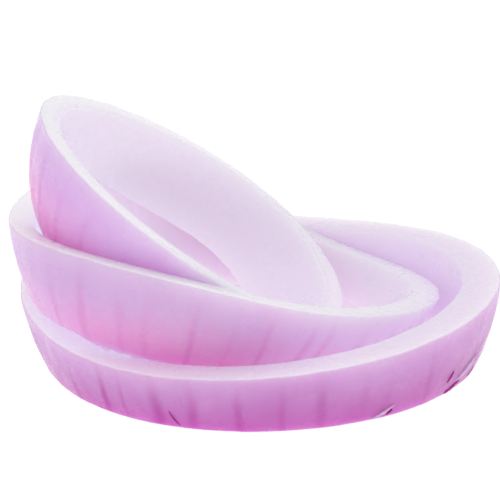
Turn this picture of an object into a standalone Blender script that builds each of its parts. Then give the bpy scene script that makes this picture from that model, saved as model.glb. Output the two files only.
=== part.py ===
"""Three open rings cut across a red onion, one nested in another.

An onion is made of closed fleshy layers, each nearly a ball. Two cuts of a knife turn a layer into an open
ring: the outside and the inside of its wall follow two balls with one middle, and the cuts are its upper and
lower faces. The knife never goes quite straight, so a ring is higher on one side and its cuts wave a little.
Metres, +Z up. The bottom ring stands on the surface at Z = 0.
"""

from dataclasses import dataclass
from math import cos, pi, radians, sin, sqrt

import bmesh
import bpy
from mathutils import Matrix, Vector

AROUND = 72  # stations round a ring
UP_THE_WALL = 6  # faces from one cut to the other
EASED = 0.0004  # the cut edges are a little soft
EASED_ABOVE = radians(35)  # edges sharper than this are cut edges
STRAIGHT = ()  # no wave


@dataclass
class Ring:
    """One ring. A wave is a size and its crest's angle in degrees, for each time that it goes round."""

    name: str
    centre: tuple  # on the ring's axis, on the plane from which the two cuts are measured
    lean: float  # angle between the ring's axis and upright
    towards: float  # compass angle, from +X, to which the axis leans
    ball: float  # radius of the ball that the outside follows
    ball_above: float  # from that plane up to the ball's middle
    wall: float  # thickness of the flesh
    oval: tuple  # wave: share of the radius added
    upper_cut: float  # from that plane down to the upper cut
    upper_wave: tuple  # added to upper_cut
    lower_cut: float  # from that plane down to the lower cut
    lower_wave: tuple  # added to lower_cut
    colour: tuple  # linear
    roughness: float


BOTTOM = Ring(
    name="bottom_ring",
    centre=(-0.0004, -0.0004, 0.0),
    lean=0.0,
    towards=0.0,
    ball=0.0382,
    ball_above=0.0167,
    wall=0.0058,
    oval=((0, 0), (0.049, -39), (0.0175, -10)),
    upper_cut=-0.01105,
    upper_wave=((0.0010, 180), (0.00135, 75), (0.0003, 87)),
    lower_cut=0.0,
    lower_wave=STRAIGHT,
    colour=(0.60, 0.21, 0.52),
    roughness=0.35,
)
MIDDLE = Ring(
    name="middle_ring",
    centre=(-0.0055, 0.0, 0.0183),
    lean=radians(16.6),
    towards=radians(16.5),
    ball=0.0343,
    ball_above=0.0075,
    wall=0.0039,
    oval=((0, 0), (0.064, 20), (0.035, -15)),
    upper_cut=0.0,
    upper_wave=((0, 0), (0.00125, 27), (0.0013, 61)),
    lower_cut=0.01215,
    lower_wave=((0.0021, 243), (0.0011, 95), (0.0015, -45)),
    colour=(0.68, 0.36, 0.66),
    roughness=0.35,
)
TOP = Ring(
    name="top_ring",
    centre=(-0.0096, -0.0004, 0.0254),
    lean=radians(37.2),
    towards=radians(-1.3),
    ball=0.0296,
    ball_above=0.0070,
    wall=0.0034,
    oval=((0, 0), (0.035, 29), (0.022, -21)),
    upper_cut=0.0,
    upper_wave=((0, 0), (0.0007, -45), (0.00015, -17)),
    lower_cut=0.0122,
    lower_wave=((0.00195, 257), (0.00105, 55), (0.0010, -12)),
    colour=(0.70, 0.42, 0.68),
    roughness=0.35,
)


def wave(parts, a):
    """The sum of a wave's parts at angle a; the first goes once round, the second twice and so on."""
    return sum(size * cos(times * (a - radians(crest))) for times, (size, crest) in enumerate(parts, 1))


def axes(ring):
    """Unit vectors of a ring: to its right, to its back, and along its axis."""
    leant = Matrix.Rotation(ring.lean, 3, Vector((-sin(ring.towards), cos(ring.towards), 0)))
    return leant.col[0], leant.col[1], leant.col[2]


def wall_radius(ring, down, a, thickness):
    """Distance from the axis to the ball that lies thickness inside the outer one."""
    ball = ring.ball - thickness
    return sqrt(ball**2 - (ring.ball_above + down) ** 2) * (1 + wave(ring.oval, a))


def section(ring, a):
    """The closed outline of the wall at angle a: down the outside, then up the inside."""
    right, back, along = axes(ring)
    upper = ring.upper_cut + wave(ring.upper_wave, a)
    lower = ring.lower_cut + wave(ring.lower_wave, a)
    outwards = cos(a) * right + sin(a) * back
    rows = [upper + (lower - upper) * row / UP_THE_WALL for row in range(UP_THE_WALL + 1)]
    outline = [(down, 0.0) for down in rows] + [(down, ring.wall) for down in reversed(rows)]
    centre = Vector(ring.centre)
    return [
        centre + outwards * wall_radius(ring, down, a, thickness) - along * down
        for down, thickness in outline
    ]


def flesh(ring):
    """The onion's flesh, coloured as the outside of this ring is on the whole."""
    material = bpy.data.materials.new(ring.name + "_flesh")
    material.use_nodes = True
    shader = material.node_tree.nodes["Principled BSDF"]
    shader.inputs["Base Color"].default_value = (*ring.colour, 1)
    shader.inputs["Roughness"].default_value = ring.roughness
    shader.inputs["Metallic"].default_value = 0
    return material


def add_ring(ring):
    """The wall's outline at every station, joined to the next one all the way round."""
    shape = bmesh.new()
    angles = [2 * pi * station / AROUND for station in range(AROUND)]
    stations = [[shape.verts.new(point) for point in section(ring, angle)] for angle in angles]
    for here, there in zip(stations, stations[1:] + stations[:1]):
        for point in range(len(here)):
            shape.faces.new((here[point - 1], here[point], there[point], there[point - 1]))
    bmesh.ops.recalc_face_normals(shape, faces=shape.faces[:])
    mesh = bpy.data.meshes.new(ring.name)
    shape.to_mesh(mesh)
    shape.free()
    mesh.shade_smooth()
    mesh.set_sharp_from_angle(angle=EASED_ABOVE)
    mesh.materials.append(flesh(ring))
    item = bpy.data.objects.new(ring.name, mesh)
    bpy.context.scene.collection.objects.link(item)
    eased = item.modifiers.new("eased cut edges", "BEVEL")
    eased.width = EASED
    eased.segments = 1
    eased.limit_method = "ANGLE"
    eased.angle_limit = EASED_ABOVE
    return item


for old in list(bpy.data.objects):
    bpy.data.objects.remove(old)
for ring in (BOTTOM, MIDDLE, TOP):
    add_ring(ring)
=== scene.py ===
"""Three rings of a cut red onion, nested and leaning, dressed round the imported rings. Metres, +Z up."""

from math import atan2, cos, pi, radians, sin, sqrt
from random import Random

import bmesh
import bpy
from mathutils import Matrix, Vector


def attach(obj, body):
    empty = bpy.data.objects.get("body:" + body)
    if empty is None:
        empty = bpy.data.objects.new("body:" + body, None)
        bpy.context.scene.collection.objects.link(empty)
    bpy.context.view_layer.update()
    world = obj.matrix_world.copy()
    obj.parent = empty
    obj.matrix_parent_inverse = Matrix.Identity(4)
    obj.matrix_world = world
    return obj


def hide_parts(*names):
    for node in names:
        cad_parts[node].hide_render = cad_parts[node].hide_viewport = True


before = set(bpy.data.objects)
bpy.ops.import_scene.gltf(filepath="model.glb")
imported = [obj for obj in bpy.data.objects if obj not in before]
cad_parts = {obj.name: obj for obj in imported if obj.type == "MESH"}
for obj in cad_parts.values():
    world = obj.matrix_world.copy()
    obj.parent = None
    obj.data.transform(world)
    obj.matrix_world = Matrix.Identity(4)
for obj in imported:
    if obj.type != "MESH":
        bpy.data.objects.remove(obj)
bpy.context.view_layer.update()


# Bottom ring
# The outermost fleshy leaf of the onion, cut across twice. It stands on its lower cut and holds the others.
# Its flesh is 6 mm thick and almost white; a purple skin one cell thick, grown onto the outside, colours it.
BOTTOM_SIZES = {
    "Centre": (-0.0004, -0.0004, 0.0),
    "Lean": 0.0,
    "Leans towards": 0.0,
    "Ball": 0.0382,
    "Ball above": 0.0167,
    "Wall": 0.0058,
    "Oval sizes": (0.0, 0.049, 0.0175),
    "Oval directions": (0.0, radians(-39), radians(-10)),
    "Upper cut": -0.01105,
    "Upper cut sizes": (0.0010, 0.00135, 0.0003),
    "Upper cut directions": (radians(180), radians(75), radians(87)),
    "Lower cut": 0.0,
    "Lower cut sizes": (0.0, 0.0, 0.0),
    "Lower cut directions": (0.0, 0.0, 0.0),
    "Soft edge": 0.0003,
    "Knife marks above": 0.0003,
    "Knife marks below": 0.0,
    "Film": 0.0,
    "Film direction": 0.0,
    "Seed": 3.0,
}
STATIONS_ROUND = 600
POINTS_ROUND_THE_WALL = 110
STEPS_ROUND_AN_EDGE = 8
SHORT_OF_THE_START = 0.9999999
WELDED_WITHIN = 0.000002
KNIFE_STEPS_IN_A_RADIUS = 8.0
NICKS_IN_A_RADIUS = 26.0
FILM_TEARS_IN_A_RADIUS = 17.0
SWELLINGS_IN_A_RADIUS = 7.0
SWELLING = 0.0005


def linear(colour):
    """An sRGB hex colour as the linear one that shaders take."""
    shares = [int(colour[at : at + 2], 16) / 255 for at in (1, 3, 5)]
    shares = [share / 12.92 if share < 0.04045 else ((share + 0.055) / 1.055) ** 2.4 for share in shares]
    return (*shares, 1.0)


def add(tree, kind, inputs=(), **settings):
    """Adds a node with its settings. Inputs go by order or by name; a node stands for its first output."""
    node = tree.nodes.new(kind)
    for setting, value in settings.items():
        setattr(node, setting, value)
    for place, value in inputs.items() if isinstance(inputs, dict) else enumerate(inputs):
        if isinstance(value, bpy.types.Node):
            value = value.outputs[0]
        if isinstance(value, bpy.types.NodeSocket):
            tree.links.new(value, node.inputs[place])
        elif value is not None:
            node.inputs[place].default_value = value
    return node


def waving(tree, angle, mean, sizes, directions):
    """A length round the ring: its mean, and waves that go once, twice and three times round."""
    size = add(tree, "ShaderNodeSeparateXYZ", (sizes,))
    direction = add(tree, "ShaderNodeSeparateXYZ", (directions,))
    total = mean
    for times in (1, 2, 3):
        from_crest = add(tree, "ShaderNodeMath", (angle, direction.outputs[times - 1]), operation="SUBTRACT")
        turned = add(tree, "ShaderNodeMath", (from_crest, times), operation="MULTIPLY")
        rise = add(tree, "ShaderNodeMath", (turned,), operation="COSINE")
        total = add(tree, "ShaderNodeMath", (rise, size.outputs[times - 1], total), operation="MULTIPLY_ADD")
    return total


def ring_tree():
    """A wall between two balls with one middle, cut off above and below by a knife that wanders."""
    tree = bpy.data.node_groups.new("cut onion ring", "GeometryNodeTree")
    tree.interface.new_socket("Geometry", in_out="OUTPUT", socket_type="NodeSocketGeometry")
    for name, value in BOTTOM_SIZES.items():
        kind = "NodeSocketVector" if isinstance(value, tuple) else "NodeSocketFloat"
        tree.interface.new_socket(name, in_out="INPUT", socket_type=kind)
    tree.interface.new_socket("Flesh", in_out="INPUT", socket_type="NodeSocketMaterial")
    given = add(tree, "NodeGroupInput").outputs

    # The wall's outline, standing up: its width is the wall and its height the mean height of the ring
    height = add(tree, "ShaderNodeMath", (given["Lower cut"], given["Upper cut"]), operation="SUBTRACT")
    box = add(tree, "GeometryNodeCurvePrimitiveQuadrilateral", {"Width": given["Wall"], "Height": height})
    outline = add(
        tree,
        "GeometryNodeFilletCurve",
        {"Curve": box, "Count": STEPS_ROUND_AN_EDGE, "Radius": given["Soft edge"], "Limit Radius": True},
        mode="POLY",
    )

    # A flat sheet of points: one way of it goes round the ring, the other round the outline
    sheet = add(
        tree,
        "GeometryNodeMeshGrid",
        {
            "Size X": 1.0,
            "Size Y": 1.0,
            "Vertices X": STATIONS_ROUND + 1,
            "Vertices Y": POINTS_ROUND_THE_WALL + 1,
        },
    )
    kept = add(
        tree,
        "GeometryNodeStoreNamedAttribute",
        {"Geometry": sheet, "Name": "UVMap", "Value": sheet.outputs["UV Map"]},
        data_type="FLOAT2",
        domain="CORNER",
    )
    kept = add(
        tree,
        "GeometryNodeStoreNamedAttribute",
        {"Geometry": kept, "Name": "way_round", "Value": sheet.outputs["UV Map"]},
        data_type="FLOAT_VECTOR",
        domain="CORNER",
    )
    way = add(tree, "ShaderNodeSeparateXYZ", (sheet.outputs["UV Map"],))
    angle = add(tree, "ShaderNodeMath", (way.outputs["X"], 2 * pi), operation="MULTIPLY")
    along = add(tree, "ShaderNodeMath", (way.outputs["Y"], SHORT_OF_THE_START), operation="MULTIPLY")
    place = add(tree, "GeometryNodeSampleCurve", {"Curves": outline, "Factor": along}, mode="FACTOR")
    across = add(tree, "ShaderNodeSeparateXYZ", (place.outputs["Position"],))
    inwards = add(tree, "ShaderNodeMath", (across.outputs["X"], given["Wall"]), operation="DIVIDE")
    inwards = add(tree, "ShaderNodeMath", (inwards, 0.5), operation="ADD")
    downwards = add(tree, "ShaderNodeMath", (across.outputs["Y"], height), operation="DIVIDE")
    downwards = add(tree, "ShaderNodeMath", (0.5, downwards), operation="SUBTRACT")

    # The two cuts, and how deep under the plane this point is
    upper = waving(tree, angle, given["Upper cut"], given["Upper cut sizes"], given["Upper cut directions"])
    lower = waving(tree, angle, given["Lower cut"], given["Lower cut sizes"], given["Lower cut directions"])
    apart = add(tree, "ShaderNodeMath", (lower, upper), operation="SUBTRACT")
    down = add(tree, "ShaderNodeMath", (apart, downwards, upper), operation="MULTIPLY_ADD")
    cosine = add(tree, "ShaderNodeMath", (angle,), operation="COSINE")
    sine = add(tree, "ShaderNodeMath", (angle,), operation="SINE")

    # The knife leaves both cuts uneven, in steps 4 mm long, and here and there a small nick in the upper one
    across_cut = add(tree, "ShaderNodeMath", (inwards, 0.25, given["Seed"]), operation="MULTIPLY_ADD")
    on_cut = add(tree, "ShaderNodeCombineXYZ", (cosine, sine, across_cut))
    knife = add(
        tree,
        "ShaderNodeTexNoise",
        {"Vector": on_cut, "Scale": KNIFE_STEPS_IN_A_RADIUS, "Detail": 4.0, "Roughness": 0.6},
    )
    knife = add(tree, "ShaderNodeMath", (knife, 0.5), operation="SUBTRACT")
    nick = add(tree, "ShaderNodeTexNoise", {"Vector": on_cut, "Scale": NICKS_IN_A_RADIUS, "Detail": 1.0})
    nick = add(tree, "ShaderNodeMapRange", (nick, 0.7, 0.82, 0.0, 1.0))
    above = add(tree, "ShaderNodeMapRange", (downwards, 0.0, 0.2, 1.0, 0.0), interpolation_type="SMOOTHSTEP")
    above = add(tree, "ShaderNodeMath", (above, given["Knife marks above"]), operation="MULTIPLY")
    rough = add(tree, "ShaderNodeMath", (knife, nick), operation="ADD")
    down = add(tree, "ShaderNodeMath", (rough, above, down), operation="MULTIPLY_ADD")
    below = add(tree, "ShaderNodeMapRange", (downwards, 0.8, 1.0, 0.0, 1.0), interpolation_type="SMOOTHSTEP")
    below = add(tree, "ShaderNodeMath", (below, given["Knife marks below"]), operation="MULTIPLY")
    down = add(tree, "ShaderNodeMath", (knife, below, down), operation="MULTIPLY_ADD")

    # A torn film of skin that hangs from the lower edge over a tenth of the way round
    from_film = add(tree, "ShaderNodeMath", (angle, given["Film direction"]), operation="SUBTRACT")
    beside_film = add(tree, "ShaderNodeMath", (from_film,), operation="COSINE")
    film = add(tree, "ShaderNodeMapRange", (beside_film, 0.94, 0.985), interpolation_type="SMOOTHSTEP")
    ragged = add(
        tree,
        "ShaderNodeTexNoise",
        {"Vector": on_cut, "Scale": FILM_TEARS_IN_A_RADIUS, "Detail": 3.0},
    )
    ragged = add(tree, "ShaderNodeMapRange", (ragged, 0.35, 0.65, 0.55, 1.15))
    at_edge = add(tree, "ShaderNodeMapRange", (downwards, 0.92, 1.0), interpolation_type="SMOOTHSTEP")
    outer = add(tree, "ShaderNodeMapRange", (inwards, 0.0, 0.3, 1.0, 0.0), interpolation_type="SMOOTHSTEP")
    film = add(tree, "ShaderNodeMath", (film, ragged), operation="MULTIPLY")
    film = add(tree, "ShaderNodeMath", (film, at_edge), operation="MULTIPLY")
    film = add(tree, "ShaderNodeMath", (film, outer), operation="MULTIPLY")
    down = add(tree, "ShaderNodeMath", (film, given["Film"], down), operation="MULTIPLY_ADD")

    # How far out the wall is at that depth
    ball = add(tree, "ShaderNodeMath", (inwards, given["Wall"]), operation="MULTIPLY")
    ball = add(tree, "ShaderNodeMath", (given["Ball"], ball), operation="SUBTRACT")
    ball = add(tree, "ShaderNodeMath", (ball, 2.0), operation="POWER")
    under_middle = add(tree, "ShaderNodeMath", (given["Ball above"], down), operation="ADD")
    under_middle = add(tree, "ShaderNodeMath", (under_middle, 2.0), operation="POWER")
    out = add(tree, "ShaderNodeMath", (ball, under_middle), operation="SUBTRACT")
    out = add(tree, "ShaderNodeMath", (out,), operation="SQRT")
    oval = waving(tree, angle, 1.0, given["Oval sizes"], given["Oval directions"])
    out = add(tree, "ShaderNodeMath", (out, oval), operation="MULTIPLY")

    # A leaf isn't quite even: every few veins it swells or sinks by a tenth of a millimetre
    height_share = add(tree, "ShaderNodeMath", (downwards, 0.2, given["Seed"]), operation="MULTIPLY_ADD")
    on_leaf = add(tree, "ShaderNodeCombineXYZ", (cosine, sine, height_share))
    swell = add(
        tree,
        "ShaderNodeTexNoise",
        {"Vector": on_leaf, "Scale": SWELLINGS_IN_A_RADIUS, "Detail": 2.0},
    )
    swell = add(tree, "ShaderNodeMath", (swell, 0.5), operation="SUBTRACT")
    out = add(tree, "ShaderNodeMath", (swell, SWELLING, out), operation="MULTIPLY_ADD")

    # Round the axis, then leant over and put in place
    x = add(tree, "ShaderNodeMath", (cosine, out), operation="MULTIPLY")
    y = add(tree, "ShaderNodeMath", (sine, out), operation="MULTIPLY")
    z = add(tree, "ShaderNodeMath", (0.0, down), operation="SUBTRACT")
    upright = add(tree, "ShaderNodeCombineXYZ", (x, y, z))
    hinge_x = add(tree, "ShaderNodeMath", (given["Leans towards"],), operation="SINE")
    hinge_x = add(tree, "ShaderNodeMath", (0.0, hinge_x), operation="SUBTRACT")
    hinge_y = add(tree, "ShaderNodeMath", (given["Leans towards"],), operation="COSINE")
    hinge = add(tree, "ShaderNodeCombineXYZ", (hinge_x, hinge_y, 0.0))
    turn = add(tree, "FunctionNodeAxisAngleToRotation", (hinge, given["Lean"]))
    leant = add(tree, "FunctionNodeRotateVector", (upright, turn))
    placed = add(tree, "ShaderNodeVectorMath", (leant, given["Centre"]), operation="ADD")

    # What the flesh needs to know of each point: how far in it is, and how far down
    leaf = add(tree, "ShaderNodeCombineXYZ", (inwards, downwards))
    geometry = add(
        tree,
        "GeometryNodeStoreNamedAttribute",
        {"Geometry": kept, "Name": "leaf", "Value": leaf},
        data_type="FLOAT_VECTOR",
        domain="POINT",
    )
    geometry = add(tree, "GeometryNodeSetPosition", {"Geometry": geometry, "Position": placed})
    geometry = add(tree, "GeometryNodeMergeByDistance", {"Geometry": geometry, "Distance": WELDED_WITHIN})
    geometry = add(tree, "GeometryNodeSetShadeSmooth", {"Geometry": geometry})
    geometry = add(tree, "GeometryNodeRealizeInstances", {"Geometry": geometry})
    geometry = add(tree, "GeometryNodeSetMaterial", {"Geometry": geometry, "Material": given["Flesh"]})
    add(tree, "NodeGroupOutput", (geometry,))
    return tree


def grow(name, sizes, flesh):
    """Runs the ring's tree with these sizes and keeps the result as a plain mesh."""
    seed = bpy.data.objects.new(name + "_seed", bpy.data.meshes.new(name))
    bpy.context.scene.collection.objects.link(seed)
    grower = seed.modifiers.new("cut onion ring", "NODES")
    grower.node_group = RING
    for socket in RING.interface.items_tree:
        if socket.in_out == "INPUT":
            grower[socket.identifier] = flesh if socket.name == "Flesh" else sizes[socket.name]
    bpy.context.view_layer.update()
    grown = seed.evaluated_get(bpy.context.evaluated_depsgraph_get())
    mesh = bpy.data.meshes.new_from_object(grown)
    bpy.data.objects.remove(seed)
    mesh.name = name
    ring = bpy.data.objects.new(name, mesh)
    bpy.context.scene.collection.objects.link(ring)
    return ring


# Shares are of the way down, of the wall or of the space for one vein; lengths are in metres
CLOUDS_IN_A_METRE = 85.0
CLOUD_SHIFT = 0.12
BENDS_IN_A_METRE = 110.0
VEIN_BEND = 0.12
VEIN_HALF_WIDTHS = (0.11, 0.28)
VEIN_FORCES = (0.15, 1.0)
VEINS_COVER = 0.75
SIDE_BEGINS = 0.45
SKIN_SHARE_OF_WALL = 0.06
# Strength of the painted glow of the flesh
PAINTED_GLOW_STRENGTH = 0.12
RIBS_ROUND = 300.0
RIBS_DOWN = 2.0
CELLS_IN_A_METRE = 1000.0
CELLS_TO_RIBS = 0.25
RELIEF_HEIGHT = 0.00006
WET_PATCHES_IN_A_METRE = 260.0
ROUGHNESS_WET_TO_DRY = (0.22, 0.42)
FLESH_IOR = 1.37
LIGHT_REACH = 0.011
LIGHT_REACH_BY_COLOUR = (1.0, 0.8, 0.95)


def onion_leaf(name, skin, sides, veins, vein_colour, cut, inner, seed):
    """A fleshy leaf of a red onion: watery white cells that let light far through, so its colours have soft
    edges, under a thin coloured skin. Its purple deepens from neck to root and gathers in veins that run the
    same way."""
    material = bpy.data.materials.new(name)
    material.use_nodes = True
    tree = material.node_tree
    shader = tree.nodes["Principled BSDF"]
    leaf = add(tree, "ShaderNodeAttribute", attribute_name="leaf").outputs["Vector"]
    leaf = add(tree, "ShaderNodeSeparateXYZ", (leaf,))
    inwards, downwards = leaf.outputs["X"], leaf.outputs["Y"]
    way_round = add(tree, "ShaderNodeAttribute", attribute_name="way_round").outputs["Vector"]
    way_round = add(tree, "ShaderNodeSeparateXYZ", (way_round,)).outputs["X"]
    place = add(tree, "ShaderNodeTexCoord").outputs["Object"]

    # Cloudy differences in how far down the purple reaches, about 12 mm across
    clouds = add(tree, "ShaderNodeTexNoise", {"Vector": place, "Scale": CLOUDS_IN_A_METRE, "Detail": 3.0})
    shift = add(tree, "ShaderNodeMapRange", (clouds, 0.3, 0.7, -CLOUD_SHIFT, CLOUD_SHIFT))
    depth = add(tree, "ShaderNodeMath", (downwards, shift), operation="ADD")
    deepening = add(tree, "ShaderNodeValToRGB", (depth,))
    stops = deepening.color_ramp.elements
    while len(stops) < len(skin):
        stops.new(1.0)
    for stop, (position, colour) in zip(stops, skin):
        stop.position = position
        stop.color = linear(colour)

    # Veins: one in each stretch of the way round, nearly straight, stronger towards the root
    bends = add(tree, "ShaderNodeTexNoise", {"Vector": place, "Scale": BENDS_IN_A_METRE, "Detail": 1.0})
    bend = add(tree, "ShaderNodeMapRange", (bends, 0.0, 1.0, -VEIN_BEND, VEIN_BEND))
    along = add(tree, "ShaderNodeMath", (way_round, veins, bend), operation="MULTIPLY_ADD")
    stretch = add(tree, "ShaderNodeMath", (along,), operation="FLOOR")
    strongest = 0.0
    for step in (-1, 0, 1):
        number = add(tree, "ShaderNodeMath", (stretch, step), operation="ADD")
        same_again = add(tree, "ShaderNodeMath", (number, veins), operation="FLOORED_MODULO")
        chance = add(tree, "ShaderNodeMath", (same_again, seed), operation="ADD")
        chance = add(tree, "ShaderNodeTexWhiteNoise", {"W": chance}, noise_dimensions="1D").outputs["Color"]
        chance = add(tree, "ShaderNodeSeparateColor", (chance,))
        middle = add(tree, "ShaderNodeMath", (chance.outputs["Red"], 0.7, number), operation="MULTIPLY_ADD")
        away = add(tree, "ShaderNodeMath", (along, middle), operation="SUBTRACT")
        away = add(tree, "ShaderNodeMath", (away, 0.15), operation="SUBTRACT")
        away = add(tree, "ShaderNodeMath", (away,), operation="ABSOLUTE")
        width = add(tree, "ShaderNodeMapRange", (chance.outputs["Green"], 0.0, 1.0, *VEIN_HALF_WIDTHS))
        near = add(tree, "ShaderNodeMath", (away, width), operation="DIVIDE")
        near = add(tree, "ShaderNodeMapRange", (near, 0.0, 1.0, 1.0, 0.0), interpolation_type="SMOOTHSTEP")
        force = add(tree, "ShaderNodeMapRange", (chance.outputs["Blue"], 0.0, 1.0, *VEIN_FORCES))
        vein = add(tree, "ShaderNodeMath", (near, force), operation="MULTIPLY")
        strongest = add(tree, "ShaderNodeMath", (vein, strongest), operation="MAXIMUM")
    rising = add(
        tree,
        "ShaderNodeMapRange",
        (downwards, 0.05, 0.8, 0.1, 1.0),
        interpolation_type="SMOOTHSTEP",
    )
    strength = add(tree, "ShaderNodeMath", (strongest, rising), operation="MULTIPLY")
    strength = add(tree, "ShaderNodeMath", (strength, VEINS_COVER), operation="MULTIPLY")
    skin_colour = add(
        tree,
        "ShaderNodeMix",
        {"Factor": strength, "A": deepening, "B": linear(vein_colour)},
        data_type="RGBA",
    )

    # The skin is mixed towards a given colour on given sides of the leaf: paler, or lilac and not pink.
    # Where a pale side lifts skin that lies in shade, as on the middle ring's right, it is painted light.
    angle = add(tree, "ShaderNodeMath", (way_round, 2 * pi), operation="MULTIPLY")
    for direction, most, tint in sides:
        from_side = add(tree, "ShaderNodeMath", (angle, direction), operation="SUBTRACT")
        facing = add(tree, "ShaderNodeMath", (from_side,), operation="COSINE")
        share = add(tree, "ShaderNodeMapRange", (facing, SIDE_BEGINS, 1.0, 0.0, most))
        skin_colour = add(
            tree,
            "ShaderNodeMix",
            {"Factor": share, "A": skin_colour.outputs["Result"], "B": linear(tint)},
            data_type="RGBA",
        )

    # Under the skin the flesh is nearly white, a little deeper in tint on its inner side
    inside = add(tree, "ShaderNodeMapRange", (inwards, 0.5, 1.0), interpolation_type="SMOOTHSTEP")
    flesh = add(
        tree,
        "ShaderNodeMix",
        {"Factor": inside, "A": linear(cut), "B": linear(inner)},
        data_type="RGBA",
    )
    on_skin = add(tree, "ShaderNodeMapRange", (inwards, 0.0, SKIN_SHARE_OF_WALL, 1.0, 0.0))
    colour = add(
        tree,
        "ShaderNodeMix",
        {"Factor": on_skin, "A": flesh.outputs["Result"], "B": skin_colour.outputs["Result"]},
        data_type="RGBA",
    )
    tree.links.new(colour.outputs["Result"], shader.inputs["Base Color"])

    # A weak painted glow in the leaf's own colours stands for the light that comes through wet flesh from all
    # sides, more than scattering gives
    tree.links.new(colour.outputs["Result"], shader.inputs["Emission Color"])
    shader.inputs["Emission Strength"].default_value = PAINTED_GLOW_STRENGTH

    # Relief: fine ribs that run with the veins, and cells 1 mm long that a cut has burst
    ribs_round = add(tree, "ShaderNodeMath", (way_round, RIBS_ROUND), operation="MULTIPLY")
    ribs_down = add(tree, "ShaderNodeMath", (downwards, RIBS_DOWN), operation="MULTIPLY")
    ribs_at = add(tree, "ShaderNodeCombineXYZ", (ribs_round, ribs_down, seed))
    ribs = add(tree, "ShaderNodeTexNoise", {"Vector": ribs_at, "Scale": 1.0, "Detail": 2.0})
    cells = add(tree, "ShaderNodeTexNoise", {"Vector": place, "Scale": CELLS_IN_A_METRE, "Detail": 3.0})
    cells = add(tree, "ShaderNodeMath", (cells, CELLS_TO_RIBS), operation="MULTIPLY")
    relief = add(tree, "ShaderNodeMath", (ribs, cells), operation="ADD")
    bump = add(tree, "ShaderNodeBump", {"Strength": 0.6, "Distance": RELIEF_HEIGHT, "Height": relief})
    tree.links.new(bump.outputs["Normal"], shader.inputs["Normal"])
    wet = add(tree, "ShaderNodeTexNoise", {"Vector": place, "Scale": WET_PATCHES_IN_A_METRE, "Detail": 2.0})
    wet = add(tree, "ShaderNodeMapRange", (wet, 0.35, 0.65, *ROUGHNESS_WET_TO_DRY))
    tree.links.new(wet.outputs["Result"], shader.inputs["Roughness"])
    shader.inputs["IOR"].default_value = FLESH_IOR
    shader.inputs["Subsurface Weight"].default_value = 1.0
    shader.inputs["Subsurface Radius"].default_value = LIGHT_REACH_BY_COLOUR
    shader.inputs["Subsurface Scale"].default_value = LIGHT_REACH
    shader.inputs["Sheen Weight"].default_value = 0.2
    shader.inputs["Sheen Roughness"].default_value = 0.4
    shader.inputs["Sheen Tint"].default_value = linear("#E4E0FF")
    return material


RING = ring_tree()
BOTTOM_SKIN = ((0.0, "#CDA4D0"), (0.35, "#C48EC6"), (0.7, "#BC6EB6"), (1.0, "#B24CA6"))
BOTTOM_SIDES = ((radians(325), 0.06, "#EADEF0"),)
bottom_flesh = onion_leaf(
    "outer_onion_leaf",
    skin=BOTTOM_SKIN,
    sides=BOTTOM_SIDES,
    veins=36,
    vein_colour="#A82896",
    cut="#EADEF0",
    inner="#E8DCF2",
    seed=BOTTOM_SIZES["Seed"],
)
bottom_ring = grow("bottom_onion_ring", BOTTOM_SIZES, bottom_flesh)
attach(bottom_ring, "root")
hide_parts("bottom_ring")


# Middle ring
# The next leaf but one, thinner and paler. It lies in the bottom ring, its left side up on that ring's rim.
# Its upper cut is wet, and its lower edge is a little ragged where the knife dragged a film of skin along.
MIDDLE_SIZES = {
    "Centre": (-0.0055, 0.0, 0.0183),
    "Lean": radians(16.6),
    "Leans towards": radians(16.5),
    "Ball": 0.0343,
    "Ball above": 0.0075,
    "Wall": 0.0039,
    "Oval sizes": (0.0, 0.064, 0.035),
    "Oval directions": (0.0, radians(20), radians(-15)),
    "Upper cut": 0.0,
    "Upper cut sizes": (0.0, 0.00125, 0.0013),
    "Upper cut directions": (0.0, radians(27), radians(61)),
    "Lower cut": 0.01215,
    "Lower cut sizes": (0.0021, 0.0011, 0.0015),
    "Lower cut directions": (radians(243), radians(95), radians(-45)),
    "Soft edge": 0.0002,
    "Knife marks above": 0.0003,
    "Knife marks below": 0.0003,
    "Film": 0.0011,
    "Film direction": radians(246),
    "Seed": 11.0,
}
MIDDLE_SKIN = ((0.0, "#DBC0E0"), (0.35, "#D4B2D8"), (0.75, "#E2A0CC"), (1.0, "#EC8AC0"))
# The first side is painted light: the middle ring's right side, in the bottom ring's shade, is mixed half-way
# to near-white so it looks lit. The second turns its left side lilac.
MIDDLE_SIDE_TINTS_AND_PAINTED_LIGHT = ((radians(345), 0.5, "#F3EEFA"), (radians(212), 0.45, "#C9A6DC"))
middle_flesh = onion_leaf(
    "middle_onion_leaf",
    skin=MIDDLE_SKIN,
    sides=MIDDLE_SIDE_TINTS_AND_PAINTED_LIGHT,
    veins=32,
    vein_colour="#C85CAA",
    cut="#F5F0FC",
    inner="#EEE8F6",
    seed=MIDDLE_SIZES["Seed"],
)
middle_ring = grow("middle_onion_ring", MIDDLE_SIZES, middle_flesh)
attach(middle_ring, "root")
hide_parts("middle_ring")


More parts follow.
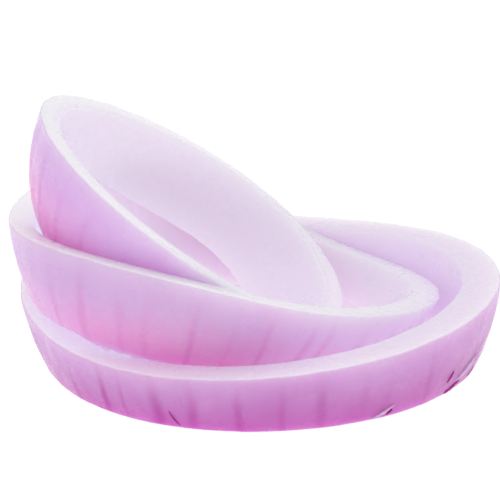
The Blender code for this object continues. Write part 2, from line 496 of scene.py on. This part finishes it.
# Top ring
# The smallest of the three leaves, cut in the same way. It leans in the middle ring with its left side
# propped on that ring's rim, so one sees far down its white inner wall.
TOP_SIZES = {
    "Centre": (-0.0096, -0.0004, 0.0254),
    "Lean": radians(37.2),
    "Leans towards": radians(-1.3),
    "Ball": 0.0296,
    "Ball above": 0.0070,
    "Wall": 0.0034,
    "Oval sizes": (0.0, 0.035, 0.022),
    "Oval directions": (0.0, radians(29), radians(-21)),
    "Upper cut": 0.0,
    "Upper cut sizes": (0.0, 0.0007, 0.00015),
    "Upper cut directions": (0.0, radians(-45), radians(-17)),
    "Lower cut": 0.0122,
    "Lower cut sizes": (0.00195, 0.00105, 0.0010),
    "Lower cut directions": (radians(257), radians(55), radians(-12)),
    "Soft edge": 0.0002,
    "Knife marks above": 0.0003,
    "Knife marks below": 0.0003,
    "Film": 0.0,
    "Film direction": 0.0,
    "Seed": 23.0,
}
TOP_SKIN = ((0.0, "#D8C2E2"), (0.25, "#D6B4DC"), (0.55, "#E4A2CE"), (0.8, "#EA84BC"))
TOP_SIDES = ((radians(215), 0.32, "#C6A2DC"),)
top_flesh = onion_leaf(
    "inner_onion_leaf",
    skin=TOP_SKIN,
    sides=TOP_SIDES,
    veins=28,
    vein_colour="#C458AC",
    cut="#F0ECF8",
    inner="#E8E0F0",
    seed=TOP_SIZES["Seed"],
)
top_ring = grow("top_onion_ring", TOP_SIZES, top_flesh)
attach(top_ring, "root")
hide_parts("top_ring")


# Torn skin
# Where the ring stood on the board its skin has split: dark red slits at the right and the front, and a pale
# flap and a chip of the same leaf that lift off it. Each grows out of the flesh, so its rim is sunk in it.
# For each: its course in degrees round and share of the way down, its width, and how far it stands off.
SLITS = {
    "dark_slit": (((322.4, 0.97), (325.5, 0.94), (329.0, 0.87)), 0.0009, 0.00010),
    "small_slit": (((322.0, 0.80), (323.6, 0.64)), 0.0006, 0.00008),
    "edge_slit": (((333.4, 0.95), (337.0, 0.84)), 0.0005, 0.00008),
    "front_slit": (((249.2, 0.97), (247.6, 0.82), (246.4, 0.64)), 0.0004, 0.00006),
    "chip_slit": (((303.0, 0.95), (304.6, 0.87)), 0.0005, 0.00034),
}
FLAPS = {
    "pale_flap": (((326.0, 0.86), (330.5, 0.76), (335.0, 0.60)), 0.0017, 0.00020),
    "pale_chip": (((299.0, 0.97), (302.4, 0.90), (305.4, 0.78)), 0.0008, 0.00025),
}
SUNK = 0.0003
STEPS_ALONG = 28
STEPS_ACROSS = 8
BLUNTNESS = 0.02
FULLNESS = 0.6
RAGGEDNESS = 0.35
STEEPNESS = 3
BLOTCHES_IN_A_METRE = 1400.0
BLOTCH_HEIGHT = 0.00004


def on_bottom(angle, share_down, proud):
    """A point that lies this far outside the bottom ring's skin."""

    def wave(mean, kind):
        sizes, directions = BOTTOM_SIZES[kind + " sizes"], BOTTOM_SIZES[kind + " directions"]
        return mean + sum(sizes[k] * cos((k + 1) * (angle - directions[k])) for k in range(3))

    down = wave(BOTTOM_SIZES["Upper cut"], "Upper cut") * (1 - share_down)
    ball, ball_above = BOTTOM_SIZES["Ball"], BOTTOM_SIZES["Ball above"]
    radius = sqrt(ball**2 - (ball_above + down) ** 2) * wave(1.0, "Oval") + proud
    x, y, _ = BOTTOM_SIZES["Centre"]
    return Vector((x + radius * cos(angle), y + radius * sin(angle), -down))


def scrap(name, course, width, lift, material, random):
    """A leaf-shaped scrap along its course on the ring, with torn sides. Its middle stands off."""
    wide, high = BOTTOM_SIZES["Ball"], -BOTTOM_SIZES["Upper cut"]
    shape = bmesh.new()
    outside, inside = [], []
    for step in range(STEPS_ALONG + 1):
        share = step / STEPS_ALONG
        place = share * (len(course) - 1)
        first = min(int(place), len(course) - 2)
        (angle_0, down_0), (angle_1, down_1) = course[first], course[first + 1]
        angle = radians(angle_0 + (angle_1 - angle_0) * (place - first))
        share_down = down_0 + (down_1 - down_0) * (place - first)
        run = Vector((wide * radians(angle_1 - angle_0), high * (down_1 - down_0))).normalized()
        half = width / 2 * max(sin(pi * share), BLUNTNESS) ** FULLNESS
        left, right = (half * (1 - random.uniform(0, RAGGEDNESS)) for _ in range(2))
        outer_row, inner_row = [], []
        for side in range(STEPS_ACROSS + 1):
            across = -left + (left + right) * side / STEPS_ACROSS
            angle_here = angle + across * run.y / wide
            down_here = min(share_down - across * run.x / high, 1.0)
            bulge = sin(pi * side / STEPS_ACROSS) * sin(pi * share)
            stands_off = (lift + SUNK / 2) * min(STEEPNESS * bulge, 1) - SUNK / 2
            outer_row.append(shape.verts.new(on_bottom(angle_here, down_here, stands_off)))
            inner_row.append(shape.verts.new(on_bottom(angle_here, down_here, -SUNK)))
        outside.append(outer_row)
        inside.append(inner_row)
    for sheet in (outside, inside):
        for here, there in zip(sheet, sheet[1:]):
            for side in range(STEPS_ACROSS):
                shape.faces.new((here[side], here[side + 1], there[side + 1], there[side]))
    edges = []
    for sheet in (outside, inside):
        far_side = [row[-1] for row in sheet[1:-1]]
        near_side = [row[0] for row in reversed(sheet[1:-1])]
        edges.append(sheet[0] + far_side + list(reversed(sheet[-1])) + near_side)
    outer_edge, inner_edge = edges
    for here in range(len(outer_edge)):
        shape.faces.new((outer_edge[here - 1], outer_edge[here], inner_edge[here], inner_edge[here - 1]))
    bmesh.ops.recalc_face_normals(shape, faces=shape.faces[:])
    mesh = bpy.data.meshes.new(name)
    shape.to_mesh(mesh)
    shape.free()
    mesh.shade_smooth()
    mesh.materials.append(material)
    item = bpy.data.objects.new(name, mesh)
    bpy.context.scene.collection.objects.link(item)
    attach(item, "root")


def dried_skin(name, colour, darker, roughness):
    """Onion skin that has dried at a tear: duller than the leaf, with blotches 0.7 mm wide of set juice."""
    material = bpy.data.materials.new(name)
    material.use_nodes = True
    tree = material.node_tree
    shader = tree.nodes["Principled BSDF"]
    place = add(tree, "ShaderNodeTexCoord").outputs["Object"]
    blotches = add(tree, "ShaderNodeTexNoise", {"Vector": place, "Scale": BLOTCHES_IN_A_METRE, "Detail": 3.0})
    blotched = add(tree, "ShaderNodeMapRange", (blotches, 0.35, 0.65))
    mixed = add(
        tree,
        "ShaderNodeMix",
        {"Factor": blotched, "A": linear(colour), "B": linear(darker)},
        data_type="RGBA",
    )
    tree.links.new(mixed.outputs["Result"], shader.inputs["Base Color"])
    bump = add(tree, "ShaderNodeBump", {"Strength": 0.5, "Distance": BLOTCH_HEIGHT, "Height": blotches})
    tree.links.new(bump.outputs["Normal"], shader.inputs["Normal"])
    shader.inputs["Roughness"].default_value = roughness
    return material


red_edge = dried_skin("dried_red_onion_skin", "#BE149A", "#8E0A74", 0.6)
pale_film = dried_skin("torn_pale_onion_skin", "#E0BCE4", "#D8A6DA", 0.6)
torn = Random(7)
for scraps, finish in ((SLITS, red_edge), (FLAPS, pale_film)):
    for scrap_name, (course, width, lift) in scraps.items():
        scrap(scrap_name, course, width, lift, finish, torn)


# Studio
# A light table of opal glass that runs far out of sight, in a white room. It lights the rings from below, so
# they throw no shadow; inside them its glow is painted dimmer and pink, as painted shade tinted by the rings.
# A large soft lamp hangs behind and above.
FLOOR_HALF = 3.0
# Within this radius the floor's glow carries painted shade in the rings' tint
PAINTED_SHADE_WITHIN = 0.0280
WHITE_BEYOND = 0.0335
LAMP_SIZE = 0.4
LAMP_POWER = 0.5
LAMP_PLACE = (0.12, 0.3, 0.5)
ROOM_LIGHT = 0.66
floor_mesh = bpy.data.meshes.new("studio_floor")
signs = ((-1, -1), (1, -1), (1, 1), (-1, 1))
floor_mesh.from_pydata([(FLOOR_HALF * x, FLOOR_HALF * y, 0) for x, y in signs], [], [(0, 1, 2, 3)])
floor = bpy.data.objects.new("studio_floor", floor_mesh)
bpy.context.scene.collection.objects.link(floor)
opal_glass = bpy.data.materials.new("lit_opal_glass")
opal_glass.use_nodes = True
opal_shader = opal_glass.node_tree.nodes["Principled BSDF"]
opal_shader.inputs["Base Color"].default_value = linear("#404040")
opal_shader.inputs["Roughness"].default_value = 0.9
opal_shader.inputs["Specular IOR Level"].default_value = 0.0
opal_tree = opal_glass.node_tree
opal_place = add(opal_tree, "ShaderNodeTexCoord").outputs["Object"]
from_middle = add(opal_tree, "ShaderNodeVectorMath", (opal_place,), operation="LENGTH").outputs["Value"]
outside_painted_shade = add(opal_tree, "ShaderNodeMapRange", (from_middle, PAINTED_SHADE_WITHIN, WHITE_BEYOND))
# Inside the nest the floor's glow is dimmer and pink: painted shade with the rings' tint
glow = add(
    opal_tree,
    "ShaderNodeMix",
    {"Factor": outside_painted_shade, "A": linear("#E6D2E8"), "B": linear("#FFFFFF")},
    data_type="RGBA",
)
opal_tree.links.new(glow.outputs["Result"], opal_shader.inputs["Emission Color"])
opal_shader.inputs["Emission Strength"].default_value = 1.0
floor_mesh.materials.append(opal_glass)

lamp = bpy.data.objects.new("soft_lamp", bpy.data.lights.new("soft_lamp", "AREA"))
bpy.context.scene.collection.objects.link(lamp)
lamp.data.size = LAMP_SIZE
lamp.data.energy = LAMP_POWER
lamp.location = LAMP_PLACE
lamp.rotation_euler = (-lamp.location).to_track_quat("-Z", "Y").to_euler()

world = bpy.data.worlds.new("white_room")
bpy.context.scene.world = world
world.use_nodes = True
world.node_tree.nodes["Background"].inputs["Color"].default_value = (1, 1, 1, 1)
world.node_tree.nodes["Background"].inputs["Strength"].default_value = ROOM_LIGHT

bpy.context.scene.view_settings.view_transform = "Standard"
bpy.context.scene.view_settings.look = "None"


# Camera
# It looks down at the rings from as far as a table-top photographer stands, turned a little off level.
LOOKED_AT = Vector((-0.0009, 0.0072, 0.0142))
DISTANCE = 0.55
VIEW_WIDTH = 0.08125
LOOKING_DOWN = radians(20.7)
OFF_LEVEL = radians(-1.9)
forwards = Vector((0, cos(LOOKING_DOWN), -sin(LOOKING_DOWN)))
level = Vector((1, 0, 0))
steep = Vector((0, sin(LOOKING_DOWN), cos(LOOKING_DOWN)))
rightwards = cos(OFF_LEVEL) * level + sin(OFF_LEVEL) * steep
upwards = -sin(OFF_LEVEL) * level + cos(OFF_LEVEL) * steep
camera = bpy.data.objects.new("camera", bpy.data.cameras.new("camera"))
bpy.context.scene.collection.objects.link(camera)
turned = Matrix((rightwards, upwards, -forwards)).transposed().to_4x4()
camera.matrix_world = Matrix.Translation(LOOKED_AT - DISTANCE * forwards) @ turned
camera.data.angle = 2 * atan2(VIEW_WIDTH / 2, DISTANCE)
bpy.context.scene.camera = camera
